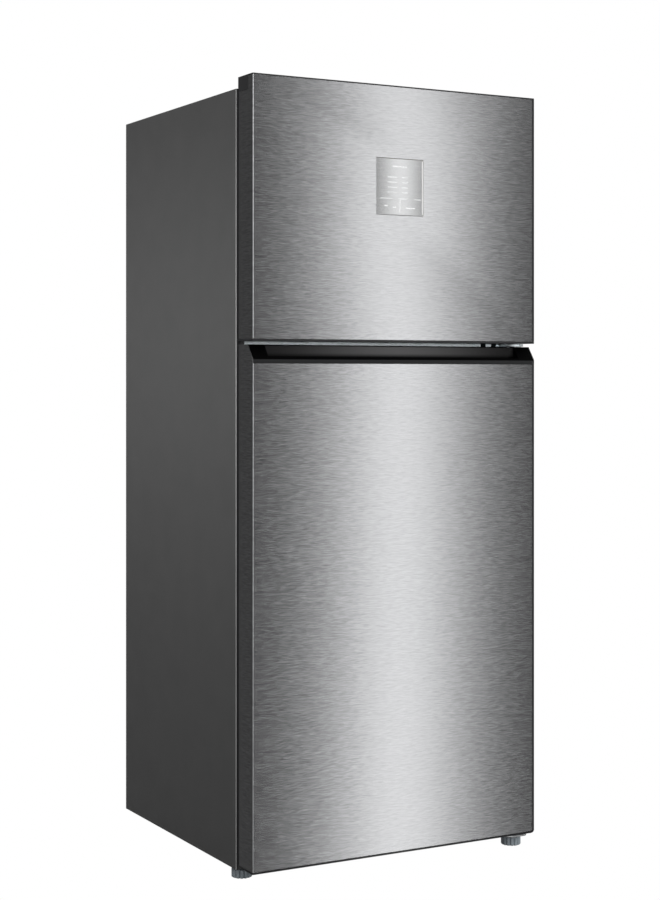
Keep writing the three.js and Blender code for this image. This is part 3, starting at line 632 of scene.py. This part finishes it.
def pull(name, body, x, y, z):
    """A drawer's pull between two x, two y and two z: a bar with a lip turned down."""
    (y0, y1), (z0, z1) = y, z
    profile = [
        (y1, z1), (y0 + 1.5, z1), (y0, z1 - 1.5), (y0, z0 + 1.5), (y0 + 1.5, z0), (y0 + 3, z0 + 1),
        (y0 + 3, z1 - 3.5), (y1, z1 - 3.5),
    ]
    rings = [[(end, py, pz) for py, pz in profile] for end in x]
    piece(name, body, "white_plastic", Shape().loft(rings), bevel=0.5)


def drawers():
    """The chiller drawer, the two crispers and the ice bin, each with a pull."""
    tub_piece("chiller_drawer_tub", "chiller_drawer", "chiller_drawer", radius=16, front=6)
    pull("chiller_drawer_pull", "chiller_drawer", x=(-280, 280), y=(-118, -112.5), z=(1024, 1040))
    slope = (86 - 46) / (285 - 102)

    def sloping_back(z):
        """A crisper's back leans back over the compressor's step."""
        return 46 + slope * (z - 102)

    for side in ("left", "right"):
        node = f"crisper_drawer_{side}"
        body = f"crisper_{side}"
        low, high = mm_box(node)
        tub_piece(node + "_tub", node, body, radius=16, back_at=sloping_back, front=6)
        pull(node + "_pull", body, x=(low.x + 4, high.x - 4), y=(-121, -115.5), z=(262, 285))
    low, high = mm_box("ice_bin")
    tub_piece("ice_bin_tub", "ice_bin", "ice_bin", radius=10, front=6)
    pull("ice_bin_pull", "ice_bin", x=(low.x + 4, high.x - 4), y=(-144, -138.5), z=(1456, 1474))


# ---------------------------------------------------------------- fan and lamp
def fan():
    """The evaporator fan: a domed hub with five twisted blades that widen outwards."""
    low, high = mm_box("evaporator_fan")
    y0, y1 = low.y, high.y
    height = 1460
    shape = Shape()
    hub = [
        (3, y0 + 1.4), (9, y0), (12.6, y0 + 1.6), (14, y0 + 5), (14, y1), (12.6, y1), (12.6, y0 + 6),
        (3, y0 + 4),
    ]
    lathe(shape, (0, 0, height), hub, "y", 40)
    # A blade's section: fractions of its chord, and how far each stands off it.
    section = (
        (-0.5, 0), (-0.25, 0.6), (0, 0.75), (0.25, 0.6), (0.5, 0), (0.25, -0.5), (0, -0.6), (-0.25, -0.5),
    )
    blades = 5
    steps = 8
    for blade in range(blades):
        turn = 2 * math.pi * blade / blades
        rings = []
        for i in range(steps + 1):
            t = i / steps
            radius = 12.5 + 33.3 * t
            chord = 15 + 14 * t
            pitch = math.radians(38 - 17 * t)
            sweep = turn + 0.35 * t
            ring = []
            for u, thick in section:
                along = u * chord * math.cos(pitch) - thick * math.sin(pitch)
                y = (y0 + y1) / 2 + u * chord * math.sin(pitch) + thick * math.cos(pitch)
                a = sweep + along / radius
                ring.append((radius * math.cos(a), y, height + radius * math.sin(a)))
            rings.append(ring)
        shape.loft(rings)
    piece("fan_rotor", "fan", "black_plastic", shape, ["evaporator_fan"], corner=45)


def lamp():
    """A ribbed lens over the lamp in the roof of the lower compartment."""
    low, high = mm_box("fridge_lamp")
    rings = [
        rounded(low.x, high.x, low.y, high.y, high.z, 5),
        rounded(low.x, high.x, low.y, high.y, low.z + 2.5, 5),
        rounded(low.x + 2, high.x - 2, low.y + 2, high.y - 2, low.z + 0.9, 5),
    ]
    shape = Shape().loft(rings)
    margin = 8
    pitch = 4
    x = low.x + margin
    while x < high.x - margin:
        ridge = [(x - 1.6, low.z + 1), (x, low.z), (x + 1.6, low.z + 1)]
        shape.loft([[(px, y, pz) for px, pz in ridge] for y in (low.y + 4, high.y - 4)])
        x += pitch
    piece("lamp_lens", "cabinet", "clear_plastic", shape, ["fridge_lamp"], corner=25)


# ---------------------------------------------------------------- back of the cabinet
def back_ribs():
    """Stiffening beads pressed into the back panel."""
    low, high = mm_box("back_panel")
    face = high.y
    bottom, top = low.z + 45, high.z - 95
    # Each ring's inset at the ends, its half width and its y.
    levels = ((15, 20, face - 0.3), (18, 17, face + 1.0), (20, 15, face + 1.2))
    shape = Shape()
    for x in (-230, -77, 77, 230):
        rings = []
        for inset, half, y in levels:
            rings.append(upended(rounded(x - half, x + half, bottom + inset, top - inset, y, half, 8)))
        shape.loft(rings)
    piece("back_panel_beads", "cabinet", "zinc_steel", shape, corner=50)


def cover_details():
    """Hoods over the compressor cover's slots, and screws round it and the back panel."""
    face = mm_box("compressor_cover")[1].y
    lowest = 80
    pitch = 20
    rows = 8
    shape = Shape()
    for x0, x1 in ((-240, -60), (40, 220)):
        for row in range(rows):
            z = lowest + pitch * row
            rings = []
            for x, out in ((x0 - 1, 0.2), (x0 + 5, 3.0), (x1 - 5, 3.0), (x1 + 1, 0.2)):
                section = (
                    (face - 0.2, z + 10), (face + out * 0.7, z + 7.5), (face + out, z + 3),
                    (face + out, z + 1), (face + out - 0.1 - 0.6 * out / 3, z + 1), (face - 0.2, z + 8),
                )
                rings.append([(x, y, pz) for y, pz in section])
            shape.loft(rings)
    piece("compressor_cover_louvres", "cabinet", "charcoal_paint", shape, corner=50)
    shape = Shape()
    for x in (-330, -110, 110, 330):
        for z in (40, 248):
            screw(shape, (x, face, z), 3.6, "y", 1)
    shell_back = mm_box("cabinet_shell")[1].y
    for z in (330, 660, 990, 1320, 1560):
        for x in (-341, 341):
            screw(shape, (x, shell_back, z), 3.2, "y", 1)
    piece("back_screws", "cabinet", "zinc_steel", shape, look=DARK_ZINC)


def rollers():
    """Rear rollers: a hard tyre round a dished hub."""
    for side in ("left", "right"):
        node = f"roller_{side}"
        low, high = mm_box(node)
        middle = (low + high) / 2
        profile = [
            (4.5, -7), (6.5, -7), (8, -5.4), (10.5, -5.4), (11.4, -8), (12.4, -8), (13, -7),
            (13, 7), (12.4, 8), (11.4, 8), (10.5, 5.4), (8, 5.4), (6.5, 7), (4.5, 7),
        ]
        rings = []
        for radius, distance in profile:
            rings.append(circle((middle.x + distance, middle.y, middle.z), radius, "x"))
        wheel = Shape().loft(rings, closed=True)
        piece(f"roller_{side}_wheel", f"{side}_roller", "black_plastic", wheel, [node])


def edge_strip(shape, corner, start, end, z0, z1, before=0.0, after=0.0, side=1):
    """A thin strip over a 3 mm rounded upright edge, between two angles from the front face.

    It may run on over the flat front face before the arc, and over the flat side after it.
    """
    radius = 3.0
    lift = 0.05
    thick = 0.5
    steps = 8
    centre = (corner[0] - side * radius, corner[1] + radius)
    outer = []
    inner = []
    if before:
        outer.append((centre[0] - side * before, corner[1] - lift))
        inner.append((centre[0] - side * before, corner[1] + thick))
    for i in range(steps + 1):
        a = math.radians(start + (end - start) * i / steps)
        u, v = side * math.sin(a), -math.cos(a)
        outer.append((centre[0] + (radius + lift) * u, centre[1] + (radius + lift) * v))
        inner.append((centre[0] + (radius - thick) * u, centre[1] + (radius - thick) * v))
    if after:
        outer.append((corner[0] + side * lift, centre[1] + after))
        inner.append((corner[0] - side * thick, centre[1] + after))
    section = outer + inner[::-1]
    shape.loft([[(x, y, z) for x, y in section] for z in (z0, z1)])


def edge_pieces():
    """The cabinet's pale corner lines, which are a painted highlight, and its black front beads, which
    are painted shade beside the doors; and black strips on the doors.

    Each door has a strip over its hinge-side front edge, a painted dark reflection, and one down the
    rear of each side, painted shade in the gap to the cabinet.
    """
    low, high = mm_box("cabinet_shell")
    bottom, top = low.z + 0.2, high.z - 0.2
    pale = Shape()
    gap_shade = Shape()
    for side, x in ((-1, low.x), (1, high.x)):
        # Each corner gets a pale strip, a painted highlight, and a black bead in front of it, painted
        # shade.
        edge_strip(pale, (x, low.y), 60, 89, bottom, top, side=side)
        edge_strip(gap_shade, (x, low.y), 0, 59, bottom, top, before=6, side=side)
    piece("cabinet_corner_painted_highlight", "cabinet", "charcoal_paint", pale, look=CABINET_EDGE_HIGHLIGHT_PAINT)
    piece("cabinet_front_painted_shade", "cabinet", "black_plastic", gap_shade)
    # Door strips: the hinge-side one is a painted dark reflection on the rounded edge, the rear ones
    # painted shade.
    rear_shade_section = ((-0.05, 4.5), (0.05, 4.5), (0.05, 0.1), (-0.05, 0.1))
    handle_foot = 1085
    for body in ("freezer_door", "fridge_door"):
        low, high = mm_box(body + "_skin")
        top = high.z if body == "freezer_door" else handle_foot
        strip = Shape()
        edge_strip(strip, (high.x, low.y), 0, 90, low.z, top, before=4.3, after=1.8)
        piece(body + "_hinge_edge_painted_reflection", body, "black_plastic", strip)
        rear = Shape()
        for x in (low.x, high.x):
            rear.loft([[(x + u, high.y - v, z) for u, v in rear_shade_section] for z in (low.z, high.z)])
        piece(body + "_rear_edge_painted_shade", body, "black_plastic", rear)


def bottom_cap():
    """The lower door's bottom cap, with its hinge-side corner rounded off."""
    low, high = mm_box("fridge_door_bottom_cap")
    corner = 7.0
    trim = 4.2
    inset = 1.3
    steps = 5
    shape = Shape()
    rings = []
    for i in range(steps + 1):
        rise = trim * i / steps
        cut = corner - math.sqrt(corner ** 2 - (corner - rise) ** 2)
        rings.append(rounded(low.x, high.x - cut, low.y, high.y, low.z + rise, 2.9, 5))
    shape.loft(rings)
    shape.block(
        (low.x + inset, low.y + inset, low.z + trim - 0.01),
        (high.x - inset, high.y - inset, high.z), 1.7)
    piece("fridge_door_bottom_end", "fridge_door", "black_plastic", shape, ["fridge_door_bottom_cap"])


# ---------------------------------------------------------------- CAD nodes
def plain_shading():
    """Geometry nodes that leave out a mesh's own normals and sharp marks."""
    group = bpy.data.node_groups.new("plain shading", "GeometryNodeTree")
    group.interface.new_socket("Geometry", in_out="INPUT", socket_type="NodeSocketGeometry")
    group.interface.new_socket("Geometry", in_out="OUTPUT", socket_type="NodeSocketGeometry")
    geometry = group.nodes.new("NodeGroupInput").outputs[0]
    for name in ("custom_normal", "sharp_face", "sharp_edge"):
        remove = group.nodes.new("GeometryNodeRemoveAttribute")
        remove.inputs["Name"].default_value = name
        group.links.new(geometry, remove.inputs["Geometry"])
        geometry = remove.outputs["Geometry"]
    group.links.new(geometry, group.nodes.new("NodeGroupOutput").inputs[0])
    return group


def smooth_cad_node(node, shading, width):
    """Welds a CAD node's triangles into whole faces and rounds its edges, by modifiers only."""
    node.modifiers.new("shading", "NODES").node_group = shading
    node.modifiers.new("weld", "WELD").merge_threshold = 0.01 * MM
    flat = node.modifiers.new("flat", "DECIMATE")
    flat.decimate_type = "DISSOLVE"
    flat.angle_limit = math.radians(0.5)
    round_edges(node, width, 2, 35)


def dress_cad_nodes():
    """Gives each CAD node its material, welded vertices and softly rounded edges."""
    shading = plain_shading()
    for part in frame["record"]["subparts"]:
        node = NODES[part["node"]]
        node.material_slots[0].material = LOOKS.get(part["node"], MATERIALS[part["material_slot"]])
        smooth_cad_node(node, shading, 0.4 * MM)


# ---------------------------------------------------------------- studio
def lobe(tree, flat, azimuth, power):
    """A soft upright band of light centred on an azimuth, measured from -Y towards +X."""
    a = math.radians(azimuth)
    towards = (math.sin(a), -math.cos(a), 0)
    facing = add(tree, "VectorMath", {"operation": "DOT_PRODUCT"}, _0=flat, _1=towards)
    positive = math_node(tree, "MAXIMUM", facing.outputs["Value"], 0.0)
    return math_node(tree, "POWER", positive, power)


def make_world():
    """White behind the object, even on matt surfaces, and for reflections dim with bright bands.

    Each upright band has an azimuth, a power that narrows it, its strength on the level, and how
    much stronger it gets with height, up to twice that strength.
    """
    world = bpy.data.worlds.new("studio")
    bpy.context.scene.world = world
    world.use_nodes = True
    tree = world.node_tree
    place = add(tree, "TexCoord").outputs["Generated"]
    height = add(tree, "SeparateXYZ", _0=place).outputs["Z"]
    flat = add(tree, "VectorMath", {"operation": "MULTIPLY"}, _0=place, _1=(1, 1, 0)).outputs[0]
    flat = add(tree, "VectorMath", {"operation": "NORMALIZE"}, _0=flat).outputs[0]
    bands = (
        (31.35, 1000, 2.54, -2.1),
        (-150, 1.5, 0.06, 0.0),
        (-60, 60, 1.2, 2.0),
        (150, 12, 0.1, 0.0),
        (-15, 70, 1.5, 6.2),
        (165, 30, 0.55, 0.0),
        (120, 30, 0.5, 0.0),
        (-42, 90, 1.3, 0.0),
        (90, 20, 0.15, 0.0),
        (75, 60, 0.35, 0.0),
        (31.35, 220, 0.24, 1.6),
    )
    glow = 0.02
    for azimuth, power, on_level, rise in bands:
        band = lobe(tree, flat, azimuth, power)
        strength = on_level
        if rise:
            rising = math_node(tree, "MULTIPLY_ADD", height, rise, on_level)
            strength = math_node(tree, "MAXIMUM", rising, 0.0)
            strength = math_node(tree, "MINIMUM", strength, 2 * on_level)
        glow = math_node(tree, "MULTIPLY_ADD", band, strength, glow)
    path = add(tree, "LightPath").outputs
    level = add(tree, "Mix", _0=path["Is Diffuse Ray"], _2=glow, _3=0.5).outputs[0]
    level = add(tree, "Mix", _0=path["Is Camera Ray"], _2=level, _3=1.0).outputs[0]
    background = tree.nodes["Background"]
    tree.links.new(level, background.inputs["Strength"])
    background.inputs["Color"].default_value = (1, 1, 1, 1)


def make_floor():
    """A plain pale floor, white to the camera and left out of reflections."""
    half = 12
    mesh = bpy.data.meshes.new("floor")
    corners = [(-half, -half, 0), (half, -half, 0), (half, half, 0), (-half, half, 0)]
    mesh.from_pydata(corners, [], [(0, 1, 2, 3)])
    floor = bpy.data.objects.new("floor", mesh)
    bpy.context.scene.collection.objects.link(floor)
    made, tree, shader = material("floor", (0.5, 0.5, 0.5), 0.8)
    white = add(tree, "Emission", Strength=1.0)
    path = add(tree, "LightPath").outputs["Is Camera Ray"]
    both = add(tree, "MixShader", _0=path, _1=shader.outputs[0], _2=white.outputs[0])
    tree.links.new(both.outputs[0], tree.nodes["Material Output"].inputs["Surface"])
    mesh.materials.append(made)
    floor.visible_glossy = False


def area_light(name, place, target, size, power):
    """A rectangular soft light that isn't seen itself or in reflections."""
    data = bpy.data.lights.new(name, "AREA")
    data.shape = "RECTANGLE"
    data.size, data.size_y = size
    data.energy = power
    light = bpy.data.objects.new(name, data)
    light.location = place
    light.rotation_euler = (Vector(target) - Vector(place)).to_track_quat("-Z", "Y").to_euler()
    light.visible_glossy = False
    light.visible_camera = False
    bpy.context.scene.collection.objects.link(light)


make_camera()
dress_cad_nodes()
levelling_foot("left_foot_disc", "foot_left", "left_foot")
levelling_foot("right_foot_disc", "foot_right", "right_foot")
touch_panel()
hinge_screws()
edge_pieces()
bottom_cap()
seal("freezer_door_seal", "freezer_door_gasket", "freezer_door")
seal("fridge_door_seal", "fridge_door_gasket", "fridge_door")
shelf_trims()
door_bins()
drawers()
fan()
lamp()
back_ribs()
cover_details()
rollers()
make_world()
make_floor()
area_light("side_strip", (-1.15, 0.1, 1.17), (0, 0.1, 1.17), (1.9, 0.25), 10.5)
area_light("front_fill", (0.7, -3.2, 1.5), (0.1, 0, 0.9), (2.4, 2.4), 70)
area_light("right_strip", (1.25, 0.1, 1.17), (0, 0.1, 1.17), (1.9, 0.25), 10)
area_light("top_fill", (-0.2, 0.1, 3.4), (0, 0, 1.6), (1.2, 1.2), 16)
area_light("back_fill", (0.9, 2.8, 1.7), (0.1, 0, 0.9), (2.0, 2.0), 60)
bpy.context.scene.view_settings.view_transform = "Standard"
